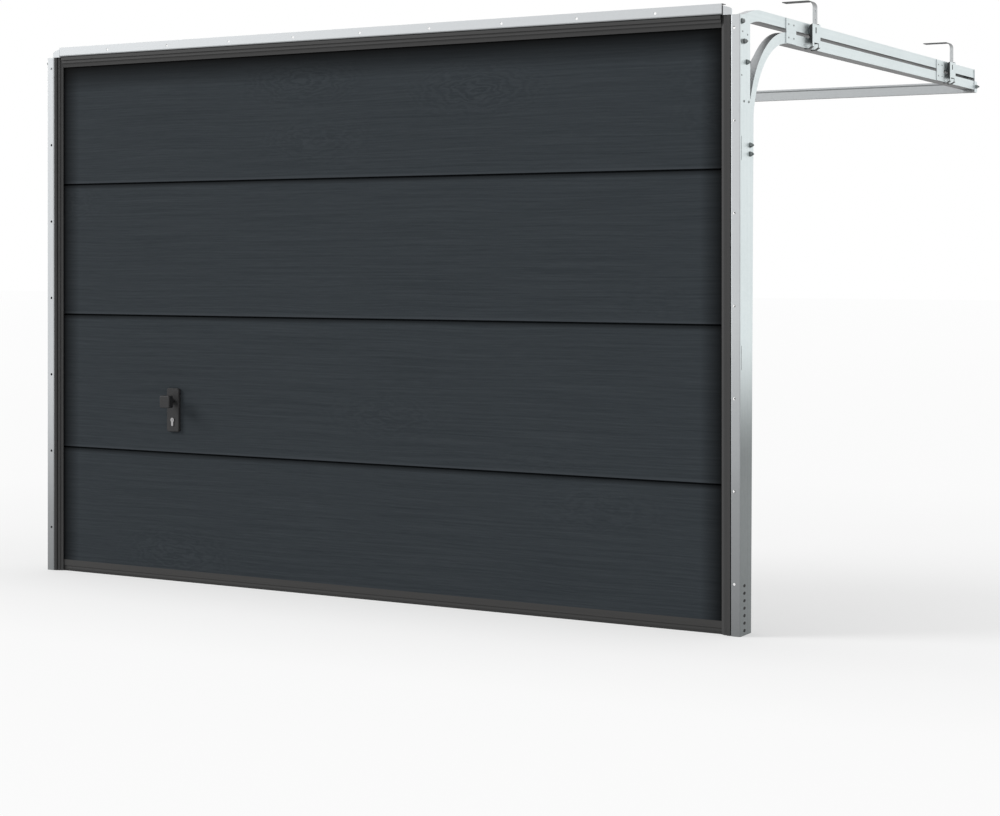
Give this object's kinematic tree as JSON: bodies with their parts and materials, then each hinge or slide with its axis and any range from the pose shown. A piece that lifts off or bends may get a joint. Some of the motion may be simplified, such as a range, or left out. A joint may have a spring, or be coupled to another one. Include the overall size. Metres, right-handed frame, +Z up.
{
  "type": "sectional garage door",
  "caption": "Closed sectional garage door with hinged wood-grain sections, steel frame, rubber seals, double overhead tracks, tension springs and a turning knob.",
  "frame": {"origin": "on the front face of the header, on the door's centre line, 2.166 m above the floor", "axes": "+X to the right seen from the front, +Y back into the garage, +Z up"},
  "size_m": [3.186, 2.853, 2.276],
  "materials": {
    "galvanised": "galvanised, satin",
    "leaf_paint": "matt anthracite with an embossed wood grain outside, pale grey inside",
    "leaf_foot": "anthracite rail",
    "seal": "matt, ribbed",
    "foot_seal": "matt black",
    "hardware": "zinc plated",
    "roller": "moulded nylon",
    "lock_black": "black, fine grained",
    "lock_metal": "satin nickel",
    "spring_steel": "drawn wire, oiled"
  },
  "bodies": {
    "root": {"left_post": "galvanised", "right_post": "galvanised", "header_profile": "galvanised", "corner_brackets": "galvanised", "left_side_seal": "seal", "right_side_seal": "seal", "header_seal": "seal", "bottom_section": "leaf_paint", "lower_middle_section": "leaf_paint", "upper_middle_section": "leaf_paint", "top_section": "leaf_paint", "bottom_rail": "leaf_foot", "bottom_seal": "foot_seal", "left_end_caps": "galvanised", "right_end_caps": "galvanised", "left_vertical_track": "galvanised", "right_vertical_track": "galvanised", "left_track_bend": "galvanised", "right_track_bend": "galvanised", "left_lower_track": "galvanised", "right_lower_track": "galvanised", "left_upper_track": "galvanised", "right_upper_track": "galvanised", "left_splice_plates": "galvanised", "right_splice_plates": "galvanised", "left_hangers": "galvanised", "right_hangers": "galvanised", "left_hanger_rods": "hardware", "right_hanger_rods": "hardware", "track_end_brackets": "galvanised", "rear_crossbar": "galvanised", "middle_hinges": "hardware", "left_side_hinges": "hardware", "right_side_hinges": "hardware", "bottom_brackets": "hardware", "top_brackets": "hardware", "left_rollers": "roller", "right_rollers": "roller", "left_roller_axles": "hardware", "right_roller_axles": "hardware", "tension_springs": "spring_steel", "top_pulleys": "hardware", "moving_pulleys": "hardware", "lift_cables": "spring_steel", "lock_plate": "lock_black", "lock_cylinder": "lock_metal", "lock_case": "lock_black", "lock_bar": "hardware", "lock_strike": "hardware"},
    "handle": {"knob": "lock_black", "inner_knob": "lock_black"}
  },
  "joints": [
    {"name": "handle_turn", "type": "hinge", "parent": "root", "child": "handle", "pos_m": [-0.912, 0.018, -1.434], "axis": [0, 1, 0], "range_deg": [0, 90]}
  ]
}
